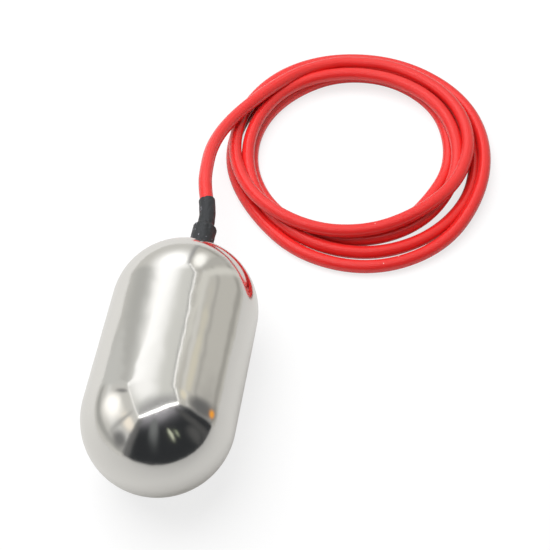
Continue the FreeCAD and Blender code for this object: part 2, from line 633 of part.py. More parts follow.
def make_cores():
    """Three insulated cores from the end of the jacket to their terminals."""
    radius = value("core_diameter / 2")
    pitch = value("core_pitch_radius")
    jacket, tabs = value(JACKET_END), value(TERMINAL_END)
    height = value(AXIS_HEIGHT)
    straight = value("core_straight")
    for name, turn_angle, step in (("core_brown", 90, 1), ("core_blue", -30, -1), ("core_black", 210, 0)):
        x = pitch * math.cos(math.radians(turn_angle))
        z = height + pitch * math.sin(math.radians(turn_angle))
        target = height + step * value("tab_pitch")
        swept(name, [(x, jacket, z), (x, jacket - straight, z), (0, tabs + straight, target),
                     (0, tabs, target)], radius)


def sleeve_exit():
    """Where the cable leaves the sleeve, and the direction in which it leaves."""
    bend, turn_angle = value("sleeve_bend_radius"), math.radians(value("sleeve_bend_angle"))
    place = Vector(bend * (math.cos(turn_angle) - 1), value(BEND_START) + bend * math.sin(turn_angle),
                   value(AXIS_HEIGHT))
    return place, Vector(-math.sin(turn_angle), math.cos(turn_angle), 0)


def make_lead():
    """Cable from the sleeve down onto the coil."""
    place, ahead = sleeve_exit()
    route = [tuple(place), tuple(place + ahead * value("lead_first_run"))] + LEAD_ROUTE
    swept("cable_lead", route, value(CABLE_RADIUS))


def make_coil():
    """Loose coil of the cable, as the solid of its outer shape: two layers of turns."""
    body = doc.addObject("PartDesign::Body", "cable_coil")
    body.Label = "cable_coil"
    for layer, foot in (("lower", "0"), ("upper", "layer_height")):
        sketch = new_sketch(body, "XY_Plane", foot)
        for edge in ("outer", "inner"):
            draw_circle(sketch, f"{layer}_{edge}_x", f"{layer}_{edge}_y", f"{layer}_{edge}_diameter / 2")
        turns = raise_up(body, layer, sketch, "layer_height")
    height = value("layer_height")
    shoulder_radius = value("lower_outer_diameter / 2")
    rims = []
    for number, edge in enumerate(turns.Shape.Edges, start=1):
        if not isinstance(edge.Curve, Part.Circle):
            continue
        between_layers = abs(edge.Curve.Center.z - height) < 0.01
        on_shoulder = abs(edge.Curve.Radius - shoulder_radius) < 0.01
        if on_shoulder or not between_layers:
            rims.append(f"Edge{number}")
    rounding = body.newObject("PartDesign::Fillet", "cable_coil_edges")
    rounding.Base = (turns, rims)
    bind(rounding, "Radius", "coil_edge_radius")
    doc.recompute()


def make_lead_ends():
    """Three stripped cores at the free end of the cable: two on the floor, one on top of them."""
    radius = value("core_diameter / 2")
    spread = value("core_spread")
    route = [Vector(*point) for point in END_ROUTE]
    last = (route[-1] - route[-2]).normalize()
    across = Vector(0, 0, 1).cross(last).normalize()
    above = last.cross(across)
    tips = []
    for name, shift in (("lead_end_brown", across * spread / 2), ("lead_end_blue", across * -spread / 2),
                        ("lead_end_black", above * spread * math.sin(math.radians(60)))):
        swept(name, [tuple(point + shift) for point in route], radius)
        tips.append(Part.makeCylinder(value("tip_diameter / 2"), value("tip_length"),
                                      route[-1] + shift, last))
    made = doc.addObject("Part::Feature", "tinned_tips")
    made.Label = "tinned_tips"
    made.Shape = Part.makeCompound(tips)


make_capsule()
make_nipple()
make_gland()
make_sleeve()
make_held_cable()
make_carrier()
make_lock_screws()
make_disc()
make_tube_fittings()
make_ball()
make_switch_case()
make_lever()
make_plunger()
make_terminals()
make_switch_fasteners()
make_cores()
make_lead()
make_coil()
make_lead_ends()
doc.recompute()

os.makedirs("parts", exist_ok=True)
for item in doc.Objects:
    if {"Invalid", "Error"} & set(item.State):
        raise RuntimeError(f"{item.Label} is not sound: {item.State}")
    if item.TypeId not in ("PartDesign::Body", "Part::Feature", "Part::Sphere"):
        continue
    if item.Shape.isNull() or not item.Shape.isValid() or not item.Shape.Solids:
        raise RuntimeError(f"{item.Label} has no sound shape")
    box = item.Shape.BoundBox
    print(f"{item.Label}: {len(item.Shape.Solids)} solid, {item.Shape.Volume:.1f} mm3,"
          f" x {box.XMin:.2f} {box.XMax:.2f}, y {box.YMin:.2f} {box.YMax:.2f},"
          f" z {box.ZMin:.2f} {box.ZMax:.2f}")
    item.Shape.exportStep(f"parts/{item.Label}.step")
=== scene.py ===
import math
import bmesh
import bpy
from bpy.props import FloatProperty, FloatVectorProperty, IntProperty, PointerProperty
from mathutils import Matrix, Vector, noise


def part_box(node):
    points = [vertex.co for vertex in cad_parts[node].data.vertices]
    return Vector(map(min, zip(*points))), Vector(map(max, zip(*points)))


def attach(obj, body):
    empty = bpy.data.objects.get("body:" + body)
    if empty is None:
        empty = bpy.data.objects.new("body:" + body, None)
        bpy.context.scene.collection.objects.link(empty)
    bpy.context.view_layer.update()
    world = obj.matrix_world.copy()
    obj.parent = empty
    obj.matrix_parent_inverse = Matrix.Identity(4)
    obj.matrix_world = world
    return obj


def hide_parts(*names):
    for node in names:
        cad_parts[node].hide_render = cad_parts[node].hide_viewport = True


# Float level switch: a polished capsule with a shrunk sleeve on one pole and a coiled cable.
# +Y runs along the capsule towards the cable, the floor is Z = 0 and all lengths are metres.

bl_info = {
    "name": "Float Level Switch",
    "version": (1, 0, 0),
    "blender": (4, 5, 0),
    "location": "3D View > Sidebar > Float Switch",
    "description": "Dresses the solids of a float level switch and lights them",
    "category": "Object",
}

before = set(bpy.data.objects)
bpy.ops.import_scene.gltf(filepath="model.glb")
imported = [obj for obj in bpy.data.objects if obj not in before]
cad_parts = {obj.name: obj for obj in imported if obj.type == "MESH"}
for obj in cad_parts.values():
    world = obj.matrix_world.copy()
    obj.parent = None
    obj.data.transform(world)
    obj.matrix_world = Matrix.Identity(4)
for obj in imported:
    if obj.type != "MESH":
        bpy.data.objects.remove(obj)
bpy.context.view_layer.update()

MM = 0.001
FLOAT = "float"
DOME_LOW, DOME_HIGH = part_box("cable_end_shell")
BLIND_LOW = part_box("blind_end_shell")[0]
RADIUS = (DOME_HIGH[2] - DOME_LOW[2]) / 2
HALF_LENGTH = -BLIND_LOW[1]


# ---------------------------------------------------------------- sizes and colours

class CapsuleSettings(bpy.types.PropertyGroup):
    """Polished capsule."""
    seam_depth: FloatProperty(name="Seam depth",
                              description="How far the ground weld lies below the shell",
                              default=0.000015, unit="LENGTH")
    seam_width: FloatProperty(name="Seam width", description="Half width of the ground weld",
                              default=0.004, unit="LENGTH")
    rows: IntProperty(name="Rows", description="Rings of faces from the girth to the pole",
                      default=150)
    segments: IntProperty(name="Segments", description="Faces around the capsule", default=200)
    colour: FloatVectorProperty(name="Colour", description="Colour of the polished steel",
                                subtype="COLOR", default=(0.80, 0.79, 0.765))
    roughness: FloatProperty(name="Roughness", description="Blur of the reflections", default=0.12)
    waviness: FloatProperty(name="Waviness",
                            description="Strength of the slow unevenness of the polish",
                            default=0.665)


class CableSettings(bpy.types.PropertyGroup):
    """Silicone cable."""
    diameter: FloatProperty(name="Diameter", description="Outer diameter of the jacket",
                            default=0.007, unit="LENGTH")
    colour: FloatVectorProperty(name="Colour", description="Colour of the jacket", subtype="COLOR",
                                default=(0.78, 0.023, 0.021))
    roughness: FloatProperty(name="Roughness", description="Dullness of the jacket", default=0.27)


class SleeveSettings(bpy.types.PropertyGroup):
    """Heat-shrink sleeve."""
    wall: FloatProperty(name="Wall", description="Thickness of the shrunk wall",
                        default=0.00055, unit="LENGTH")
    wrinkle: FloatProperty(name="Wrinkle", description="Height of the wrinkles",
                           default=0.00024, unit="LENGTH")
    colour: FloatVectorProperty(name="Colour", description="Colour of the sleeve", subtype="COLOR",
                                default=(0.024, 0.026, 0.029))
    roughness: FloatProperty(name="Roughness", description="Dullness of the sleeve", default=0.5)


class StageSettings(bpy.types.PropertyGroup):
    """Floor, light and camera."""
    floor_colour: FloatVectorProperty(name="Floor", description="Colour of the floor",
                                      subtype="COLOR", default=(0.88, 0.88, 0.88))
    mirrored_floor: FloatProperty(name="Mirrored floor",
                                  description="How bright the steel mirrors the floor",
                                  default=0.43)
    seen_floor: FloatProperty(name="Seen floor", description="How bright the floor itself looks",
                              default=1.06)
    world_strength: FloatProperty(name="World", description="Brightness of the surroundings",
                                  default=0.24)
    lamp_power: FloatProperty(name="Lamp", description="Power of the overhead lamp",
                              default=12.5, unit="POWER")
    lens: FloatProperty(name="Lens", description="Focal length on a 36 mm sensor", default=76.85)


# ---------------------------------------------------------------- node helpers

def add_node(tree, kind, place=(0, 0), **values):
    """New node; values named in_0, in_1 … set its inputs, the others its properties."""
    made = tree.nodes.new(kind)
    made.location = place
    for name, setting in values.items():
        if not name.startswith("in_"):
            setattr(made, name, setting)
    for name, setting in values.items():
        if name.startswith("in_"):
            connect(tree, setting, made.inputs[int(name[3:])])
    return made


def connect(tree, source, socket):
    """Feed a socket from another socket, a node's first output or a plain value."""
    if isinstance(source, bpy.types.Node):
        source = source.outputs[0]
    if isinstance(source, bpy.types.NodeSocket):
        tree.links.new(source, socket)
    else:
        socket.default_value = source


def calculate(tree, operation, first, second=0.0, third=0.0):
    """One math node."""
    kind = "ShaderNodeMath"
    return add_node(tree, kind, operation=operation, in_0=first, in_1=second, in_2=third)


def new_material(name, colour, roughness, metallic=0.0):
    """Material with one Principled BSDF; returns it with its tree and shader."""
    material = bpy.data.materials.new(name)
    material.use_nodes = True
    tree = material.node_tree
    shader = next(item for item in tree.nodes if item.type == "BSDF_PRINCIPLED")
    shader.inputs["Base Color"].default_value = (*colour, 1)
    shader.inputs["Roughness"].default_value = roughness
    shader.inputs["Metallic"].default_value = metallic
    return material, tree, shader


def unevenness_group():
    """Shader group, built once: slow waves and fine grain of a worked surface."""
    name = "surface_unevenness"
    if name in bpy.data.node_groups:
        return bpy.data.node_groups[name]
    group = bpy.data.node_groups.new(name, "ShaderNodeTree")
    face = group.interface
    for title, default in (("Wave Scale", 40.0), ("Wave Height", 1.0), ("Grain Scale", 900.0),
                           ("Grain Height", 0.1), ("Stretch", 1.0)):
        made = face.new_socket(title, in_out="INPUT", socket_type="NodeSocketFloat")
        made.default_value = default
    face.new_socket("Height", in_out="OUTPUT", socket_type="NodeSocketFloat")
    start = add_node(group, "NodeGroupInput", (-900, 0))
    place = add_node(group, "ShaderNodeTexCoord", (-900, 300))
    axes = add_node(group, "ShaderNodeSeparateXYZ", (-700, 300), in_0=place.outputs["Object"])
    along = calculate(group, "MULTIPLY", axes.outputs[1], start.outputs["Stretch"])
    spot = add_node(group, "ShaderNodeCombineXYZ", (-400, 300), in_0=axes.outputs[0], in_1=along,
                    in_2=axes.outputs[2])
    waves = add_node(group, "ShaderNodeTexNoise", (-200, 300))
    grain = add_node(group, "ShaderNodeTexNoise", (-200, 0))
    for texture, scale, detail in ((waves, "Wave Scale", 1.5), (grain, "Grain Scale", 3.0)):
        connect(group, spot, texture.inputs["Vector"])
        connect(group, start.outputs[scale], texture.inputs["Scale"])
        texture.inputs["Detail"].default_value = detail
    slow = calculate(group, "MULTIPLY", waves.outputs["Fac"], start.outputs["Wave Height"])
    fine = calculate(group, "MULTIPLY", grain.outputs["Fac"], start.outputs["Grain Height"])
    total = calculate(group, "ADD", slow, fine)
    end = add_node(group, "NodeGroupOutput", (400, 0))
    connect(group, total, end.inputs["Height"])
    return group


def add_unevenness(tree, shader, distance, **values):
    """Put the unevenness group into a material, as a bump that feeds the shader's normal."""
    group = add_node(tree, "ShaderNodeGroup", (-600, -200), node_tree=unevenness_group())
    for title, setting in values.items():
        group.inputs[title.replace("_", " ").title()].default_value = setting
    bump = add_node(tree, "ShaderNodeBump", (-300, -200))
    bump.inputs["Distance"].default_value = distance
    connect(tree, group.outputs["Height"], bump.inputs["Height"])
    connect(tree, bump, shader.inputs["Normal"])


def marks_group():
    """Shader group, built once: colour of a surface with scattered pale marks."""
    name = "pale_marks"
    if name in bpy.data.node_groups:
        return bpy.data.node_groups[name]
    group = bpy.data.node_groups.new(name, "ShaderNodeTree")
    face = group.interface
    for title in ("Ground", "Mark"):
        face.new_socket(title, in_out="INPUT", socket_type="NodeSocketColor")
    for title in ("Scale", "Size", "Share"):
        face.new_socket(title, in_out="INPUT", socket_type="NodeSocketFloat")
    face.new_socket("Colour", in_out="OUTPUT", socket_type="NodeSocketColor")
    start = add_node(group, "NodeGroupInput", (-900, 0))
    place = add_node(group, "ShaderNodeTexCoord", (-900, 300))
    cells = add_node(group, "ShaderNodeTexVoronoi", (-600, 300))
    connect(group, place.outputs["Object"], cells.inputs["Vector"])
    connect(group, start.outputs["Scale"], cells.inputs["Scale"])
    chance = add_node(group, "ShaderNodeSeparateColor", (-400, 100), in_0=cells.outputs["Color"])
    chosen = calculate(group, "LESS_THAN", chance.outputs[0], start.outputs["Share"])
    near = calculate(group, "LESS_THAN", cells.outputs["Distance"], start.outputs["Size"])
    marked = calculate(group, "MULTIPLY", chosen, near)
    mixed = add_node(group, "ShaderNodeMix", (200, 0), data_type="RGBA", in_0=marked,
                     in_6=start.outputs["Ground"], in_7=start.outputs["Mark"])
    end = add_node(group, "NodeGroupOutput", (400, 0))
    connect(group, mixed.outputs[2], end.inputs["Colour"])
    return group


def add_marks(tree, shader, ground, mark, scale, size, share):
    """Scatter pale marks over a material: cells per metre, reach within a cell, share of cells."""
    group = add_node(tree, "ShaderNodeGroup", (-600, 200), node_tree=marks_group())
    group.inputs["Ground"].default_value = (*ground, 1)
    group.inputs["Mark"].default_value = (*mark, 1)
    group.inputs["Scale"].default_value = scale
    group.inputs["Size"].default_value = size
    connect(tree, share, group.inputs["Share"])
    connect(tree, group.outputs["Colour"], shader.inputs["Base Color"])


# ---------------------------------------------------------------- object helpers

def link(name, data):
    """New object in the scene."""
    made = bpy.data.objects.new(name, data)
    bpy.context.scene.collection.objects.link(made)
    return made


def paint(node, material):
    """Give a CAD node its finish."""
    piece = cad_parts[node]
    if not piece.material_slots:
        piece.data.materials.append(material)
    for item in piece.material_slots:
        item.material = material


def smooth(mesh):
    """Shade all faces smooth."""
    mesh.polygons.foreach_set("use_smooth", [True] * len(mesh.polygons))


# ---------------------------------------------------------------- capsule

# Radius of the hole in the cable-end cup's pole, the sheet's thickness, the unevenness round the
# seam, the distance under which points of the bent grid are one, and the angle of a sharp edge.
POLE_HOLE = 5.35 * MM
WALL = 0.8 * MM
RIPPLE_SCALE = 9.0
MERGE_DISTANCE = 0.002 * MM
SHARP_ANGLE = math.radians(40)


def cup_tree():
    """Geometry nodes for one drawn cup: a cylinder with a half-round dome, bent from a grid."""
    tree = bpy.data.node_groups.new("drawn_cup", "GeometryNodeTree")
    face = tree.interface
    for title, default in (("Radius", 0.035), ("Straight", 0.029), ("Hole Radius", 0.0),
                           ("Direction", 1.0), ("Seam Depth", 0.0001), ("Seam Width", 0.002),
                           ("Seam Ripple", 0.5)):
        made = face.new_socket(title, in_out="INPUT", socket_type="NodeSocketFloat")
        made.default_value = default
    for title, default in (("Rows", 150), ("Segments", 200)):
        made = face.new_socket(title, in_out="INPUT", socket_type="NodeSocketInt")
        made.default_value = default
    face.new_socket("Material", in_out="INPUT", socket_type="NodeSocketMaterial")
    face.new_socket("Geometry", in_out="OUTPUT", socket_type="NodeSocketGeometry")
    start = add_node(tree, "NodeGroupInput", (-1400, 0))
    given = start.outputs
    across = calculate(tree, "ADD", given["Segments"], 1.0)
    along = calculate(tree, "ADD", given["Rows"], 1.0)
    grid = add_node(tree, "GeometryNodeMeshGrid", (-1100, 300), in_0=1.0, in_1=1.0, in_2=across,
                    in_3=along)
    place = add_node(tree, "GeometryNodeInputPosition", (-1100, 0))
    axes = add_node(tree, "ShaderNodeSeparateXYZ", (-900, 0), in_0=place)
    angle = calculate(tree, "MULTIPLY", calculate(tree, "ADD", axes.outputs[0], 0.5), 2 * math.pi)
    hole_share = calculate(tree, "DIVIDE", given["Hole Radius"], given["Radius"])
    hole_angle = calculate(tree, "ARCSINE", hole_share)
    dome_angle = calculate(tree, "SUBTRACT", math.pi / 2, hole_angle)
    dome = calculate(tree, "MULTIPLY", dome_angle, given["Radius"])
    whole = calculate(tree, "ADD", given["Straight"], dome)
    reach = calculate(tree, "MULTIPLY", calculate(tree, "ADD", axes.outputs[1], 0.5), whole)
    past = calculate(tree, "MAXIMUM", calculate(tree, "SUBTRACT", reach, given["Straight"]), 0.0)
    tilt = calculate(tree, "DIVIDE", past, given["Radius"])
    flat = calculate(tree, "MINIMUM", reach, given["Straight"])
    rise = calculate(tree, "MULTIPLY_ADD", given["Radius"], calculate(tree, "SINE", tilt), flat)
    girth = calculate(tree, "MULTIPLY", given["Radius"], calculate(tree, "COSINE", tilt))
    near = calculate(tree, "DIVIDE", reach, given["Seam Width"])
    squared = calculate(tree, "MULTIPLY", near, near)
    fade = calculate(tree, "EXPONENT", calculate(tree, "MULTIPLY", squared, -1.0))
    sine, cosine = calculate(tree, "SINE", angle), calculate(tree, "COSINE", angle)
    round_spot = add_node(tree, "ShaderNodeCombineXYZ", (-200, -500), in_0=sine, in_1=cosine)
    ripple = add_node(tree, "ShaderNodeTexNoise", (0, -500))
    connect(tree, round_spot, ripple.inputs["Vector"])
    ripple.inputs["Scale"].default_value = RIPPLE_SCALE
    uneven = calculate(tree, "MULTIPLY", ripple.outputs["Fac"], given["Seam Ripple"])
    depth = calculate(tree, "MULTIPLY", calculate(tree, "ADD", uneven, 0.5), given["Seam Depth"])
    radius = calculate(tree, "SUBTRACT", girth, calculate(tree, "MULTIPLY", depth, fade))
    spot = add_node(tree, "ShaderNodeCombineXYZ", (300, 0),
                    in_0=calculate(tree, "MULTIPLY", radius, sine),
                    in_1=calculate(tree, "MULTIPLY", rise, given["Direction"]),
                    in_2=calculate(tree, "MULTIPLY_ADD", radius, cosine, given["Radius"]))
    moved = add_node(tree, "GeometryNodeSetPosition", (500, 300))
    connect(tree, grid.outputs["Mesh"], moved.inputs["Geometry"])
    connect(tree, spot, moved.inputs["Position"])
    merged = add_node(tree, "GeometryNodeMergeByDistance", (700, 300))
    connect(tree, moved, merged.inputs["Geometry"])
    merged.inputs["Distance"].default_value = MERGE_DISTANCE
    real = add_node(tree, "GeometryNodeRealizeInstances", (900, 300))
    connect(tree, merged, real.inputs[0])
    dressed = add_node(tree, "GeometryNodeSetMaterial", (1100, 300))
    connect(tree, real, dressed.inputs["Geometry"])
    connect(tree, given["Material"], dressed.inputs["Material"])
    end = add_node(tree, "NodeGroupOutput", (1300, 300))
    connect(tree, dressed, end.inputs["Geometry"])
    return tree


def bake(name, tree, values):
    """Run a geometry tree with the given inputs and keep the result as a plain mesh."""
    worker = link(f"{name}_worker", bpy.data.meshes.new(f"{name}_worker"))
    modifier = worker.modifiers.new("build", "NODES")
    modifier.node_group = tree
    for item in tree.interface.items_tree:
        if item.in_out == "INPUT" and item.name in values:
            modifier[item.identifier] = values[item.name]
    graph = bpy.context.evaluated_depsgraph_get()
    mesh = bpy.data.meshes.new_from_object(worker.evaluated_get(graph))
    mesh.name = name
    bpy.data.objects.remove(worker)
    return mesh


def thicken(mesh, wall):
    """Turn a skin into a closed shell whose wall lies inside it."""
    shell = bmesh.new()
    shell.from_mesh(mesh)
    bmesh.ops.recalc_face_normals(shell, faces=shell.faces)
    outer = list(shell.faces)
    middle = Vector((0, 0, RADIUS))
    outside = sum((face.calc_center_median() - middle).dot(face.normal) for face in outer)
    if outside < 0:
        bmesh.ops.reverse_faces(shell, faces=outer)
    shell.to_mesh(mesh)
    shell.free()
    worker = link(f"{mesh.name}_worker", mesh)
    solid = worker.modifiers.new("wall", "SOLIDIFY")
    solid.thickness = wall
    solid.offset = -1
    graph = bpy.context.evaluated_depsgraph_get()
    made = bpy.data.meshes.new_from_object(worker.evaluated_get(graph))
    bpy.data.objects.remove(worker)
    return made


def steel_material(settings):
    """Polished stainless steel with slow waves from the buffing wheel."""
    material, tree, shader = new_material("polished_stainless", settings.colour,
                                          settings.roughness, metallic=1.0)
    add_unevenness(tree, shader, distance=0.0004, wave_scale=75.0, wave_height=settings.waviness,
                   grain_scale=1500.0, grain_height=0.003, stretch=0.8)
    return material


class OBJECT_OT_float_capsule(bpy.types.Operator):
    """Builds the two polished cups of the capsule"""
    bl_idname = "float_switch.capsule"
    bl_label = "Polished capsule"

    def execute(self, context):
        settings = context.scene.float_capsule
        material = steel_material(settings)
        tree = cup_tree()
        for name, node, direction, hole in (("cable_end_cup", "cable_end_shell", 1.0, POLE_HOLE),
                                            ("blind_end_cup", "blind_end_shell", -1.0, 0.0)):
            mesh = bake(name, tree, {
                "Radius": RADIUS, "Straight": HALF_LENGTH - RADIUS, "Hole Radius": hole,
                "Direction": direction, "Seam Depth": settings.seam_depth,
                "Seam Width": settings.seam_width, "Seam Ripple": 1.0, "Rows": settings.rows,
                "Segments": settings.segments, "Material": material})
            mesh = thicken(mesh, WALL)
            smooth(mesh)
            mesh.set_sharp_from_angle(angle=SHARP_ANGLE)
            cup = link(name, mesh)
            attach(cup, FLOAT)
            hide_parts(node)
        return {"FINISHED"}


# ---------------------------------------------------------------- sleeve

# Way of the sleeve from the capsule's middle: its foot on the dome, the step from the nipple down
# to the cable, the start of the bend and its end. Then the radii before and after the step, the
# step's length, and the faces round and along.
SLEEVE_FOOT = 63.74 * MM
SLEEVE_STEP = 77.6 * MM
BEND_START = 80.25 * MM
BEND_RADIUS = 50 * MM
BEND_ANGLE = math.radians(18)
SLEEVE_END = BEND_START + BEND_RADIUS * BEND_ANGLE
SLEEVE_WIDE, SLEEVE_NARROW = 5.92 * MM, 4.12 * MM
STEP_LENGTH = 2.6 * MM
SLEEVE_AROUND, SLEEVE_ALONG = 96, 110

# Unevenness of the sleeve. The rims wander by RIM_RAGGED in RIM_WAVES waves, which fades over one
# part in RIM_FADE of the length. The wrinkles are coarse and fine creases, deepest near the step.
RIM_INSET = 0.25 * MM
RIM_RAGGED = 0.5 * MM
RIM_WAVES = 2.2
RIM_FADE = 14
CREASE_ROUND = 3.5
CREASE_LENGTH = 3.2 * MM
FINE_SCALE, FINE_SHARE = 2.3, 0.5
WRINKLE_BASE, WRINKLE_SHOULDER = 0.6, 1.6
SHOULDER_LENGTH = 3 * MM

# Scuffs of the sleeve: the share of marked cells falls from WORN_SHARE at WORN_PLACE on X, the
# side away from the coil, to SOUND_SHARE at SOUND_PLACE.
WORN_PLACE, SOUND_PLACE = -5.0 * MM, -2.6 * MM
WORN_SHARE, SOUND_SHARE = 0.16, 0.01


def sleeve_axis(reach):
    """Point and direction of the sleeve's middle line at a distance from the capsule's middle."""
    if reach <= BEND_START:
        return Vector((0, reach, RADIUS)), Vector((0, 1, 0))
    angle = (reach - BEND_START) / BEND_RADIUS
    spot = Vector((BEND_RADIUS * (math.cos(angle) - 1), BEND_START + BEND_RADIUS * math.sin(angle),
                   RADIUS))
    return spot, Vector((-math.sin(angle), math.cos(angle), 0))


def sleeve_girth(reach):
    """Radius of the shrunk sleeve's outside."""
    if reach < SLEEVE_STEP:
        return SLEEVE_WIDE
    drop = min((reach - SLEEVE_STEP) / STEP_LENGTH, 1)
    return SLEEVE_WIDE + (SLEEVE_NARROW - SLEEVE_WIDE) * drop * drop * (3 - 2 * drop)


def sleeve_pair(settings, share, angle):
    """Outer and inner point of the wall, at a share of the sleeve's length and an angle."""
    cosine, sine = math.cos(angle), math.sin(angle)
    around = Vector((RIM_WAVES * cosine, RIM_WAVES * sine, 4 * round(share)))
    ragged = RIM_RAGGED * noise.noise(around)
    fade = max(0.0, 1 - share * RIM_FADE) + max(0.0, 1 - (1 - share) * RIM_FADE)
    length = SLEEVE_END - SLEEVE_FOOT - 2 * RIM_INSET
    reach = SLEEVE_FOOT + RIM_INSET + length * share + ragged * fade
    centre, ahead = sleeve_axis(reach)
    side = Vector((0, 0, 1)).cross(ahead)
    out = side * cosine + Vector((0, 0, 1)) * sine
    spot = Vector((CREASE_ROUND * cosine, CREASE_ROUND * sine, reach / CREASE_LENGTH))
    crease = noise.noise(spot) + FINE_SHARE * noise.noise(spot * FINE_SCALE)
    shoulder = math.exp(-((reach - SLEEVE_STEP) / SHOULDER_LENGTH) ** 2)
    girth = sleeve_girth(reach)
    rough = settings.wrinkle * crease * (WRINKLE_BASE + WRINKLE_SHOULDER * shoulder)
    return centre + out * (girth + rough), centre + out * (girth - settings.wall)


def sleeve_mesh(settings):
    """Closed wall of the sleeve, with soft wrinkles and uneven rims."""
    outer_rings, inner_rings = [], []
    for row in range(SLEEVE_ALONG + 1):
        pairs = [sleeve_pair(settings, row / SLEEVE_ALONG, 2 * math.pi * step / SLEEVE_AROUND)
                 for step in range(SLEEVE_AROUND)]
        outer_rings.append([outer for outer, inner in pairs])
        inner_rings.append([inner for outer, inner in pairs])
    rings = outer_rings + inner_rings[::-1]
    vertices = [spot for ring in rings for spot in ring]
    faces = []
    for row in range(len(rings)):
        first = row * SLEEVE_AROUND
        second = (row + 1) % len(rings) * SLEEVE_AROUND
        for step in range(SLEEVE_AROUND):
            after = (step + 1) % SLEEVE_AROUND
            faces.append((first + step, first + after, second + after, second + step))
    mesh = bpy.data.meshes.new("shrunk_sleeve")
    mesh.from_pydata(vertices, [], faces)
    shell = bmesh.new()
    shell.from_mesh(mesh)
    bmesh.ops.recalc_face_normals(shell, faces=shell.faces)
    shell.to_mesh(mesh)
    shell.free()
    smooth(mesh)
    return mesh


def sleeve_material(settings):
    """Black shrunk sleeve, scuffed pale on the side away from the coil."""
    material, tree, shader = new_material("shrunk_polyolefin", settings.colour, settings.roughness)
    add_unevenness(tree, shader, distance=0.00012, wave_scale=420.0, wave_height=0.6,
                   grain_scale=3200.0, grain_height=0.25, stretch=0.7)
    place = add_node(tree, "ShaderNodeTexCoord", (-1300, 200))
    axes = add_node(tree, "ShaderNodeSeparateXYZ", (-1100, 200), in_0=place.outputs["Object"])
    worn = add_node(tree, "ShaderNodeMapRange", (-900, 200), in_0=axes.outputs[0],
                    in_1=WORN_PLACE, in_2=SOUND_PLACE, in_3=WORN_SHARE, in_4=SOUND_SHARE)
    add_marks(tree, shader, settings.colour, mark=(0.34, 0.33, 0.39), scale=1500.0, size=0.42,
              share=worn)
    return material


class OBJECT_OT_float_sleeve(bpy.types.Operator):
    """Builds the heat-shrink sleeve over the nipple"""
    bl_idname = "float_switch.sleeve"
    bl_label = "Heat-shrink sleeve"

    def execute(self, context):
        settings = context.scene.float_sleeve
        mesh = sleeve_mesh(settings)
        mesh.materials.append(sleeve_material(settings))
        sleeve = link("shrunk_sleeve", mesh)
        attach(sleeve, FLOAT)
        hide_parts("heat_shrink_sleeve")
        return {"FINISHED"}


# ---------------------------------------------------------------- cable

COIL_CENTRE = Vector((66, 163, 0)) * MM
EXIT_PLACE, EXIT_WAY = sleeve_axis(SLEEVE_END)

# Corners of the cable's way from the sleeve down onto the coil, in millimetres.
LEAD_ROUTE = [
    (-7.3, 119, 32), (-8.6, 136, 26.5), (-6.9, 153, 21), (-1.8, 168.5, 17.8), (6.3, 182, 17.3),
    (15.5, 196, 16), (26.4, 210, 13.8), (40, 220.8, 11.6), (55, 227, 10.8)]

# Distance from the coil's middle and height of the cable, in millimetres, at every eighth of a
# turn clockwise from the left. One list is one turn, written as two half turns.
TURNS = [
    [(65.0, 11.0), (65.0, 11.0), (64.4, 10.5), (66.1, 10.5),
     (61.5, 14.0), (55.6, 13.5), (57.8, 10.5), (65.0, 14.5)],
    [(65.5, 10.5), (67.8, 9.0), (73.2, 3.5), (75.2, 3.5),
     (70.8, 9.6), (75.0, 4.5), (74.7, 3.5), (66.2, 3.5)],
    [(68.0, 3.5), (65.0, 3.5), (67.6, 3.5), (66.0, 3.5),
     (67.3, 3.5), (66.6, 3.5), (65.6, 3.5), (61.9, 8.6)],
    [(57.3, 10.5), (56.7, 10.5), (55.3, 10.5), (57.5, 10.5),
     (56.5, 9.8), (57.8, 6.0), (57.7, 3.5), (57.4, 3.5)],
    [(56.1, 3.5), (56.4, 3.5), (61.0, 3.5), (59.0, 3.5),
     (51.5, 3.5), (51.0, 3.5), (51.0, 3.5), (51.0, 3.5)]]

# Angles in degrees: between two knots above, between two control points, and where the coil's
# control points start and stop. Then the free end, and how far the cable reaches back into the
# sleeve and runs straight out of it.
KNOT_STEP = 45
COIL_STEP = 30
FIRST_ANGLE = 105
LAST_ANGLE = 4 * 360 + 195
CABLE_END = Vector((104.5, 129.5, 3.5)) * MM
TUCKED, STRAIGHT = 2 * MM, 10 * MM


def coil_place(angle):
    """Control point of the cable at an angle, in degrees along all the turns."""
    knots = [knot for turn in TURNS for knot in turn]
    index, share = divmod(angle / KNOT_STEP, 1)
    index = int(index)
    before, here, after, beyond = (knots[min(max(index + shift, 0), len(knots) - 1)]
                                   for shift in (-1, 0, 1, 2))
    distance = 0.5 * (2 * here[0] + (after[0] - before[0]) * share
                      + (2 * before[0] - 5 * here[0] + 4 * after[0] - beyond[0]) * share ** 2
                      + (3 * here[0] - before[0] - 3 * after[0] + beyond[0]) * share ** 3)
    height = here[1] + (after[1] - here[1]) * share * share * (3 - 2 * share)
    distance /= math.cos(math.radians(COIL_STEP / 2))
    way = math.radians(angle)
    return COIL_CENTRE + Vector((-distance * math.cos(way), distance * math.sin(way), height)) * MM


def cable_route():
    """Control points of the whole cable, from the sleeve to the free end."""
    points = [EXIT_PLACE - EXIT_WAY * TUCKED, EXIT_PLACE + EXIT_WAY * STRAIGHT]
    points += [Vector(corner) * MM for corner in LEAD_ROUTE]
    for angle in range(FIRST_ANGLE, LAST_ANGLE + 1, COIL_STEP):
        points.append(coil_place(angle))
    points.append(CABLE_END)
    return points


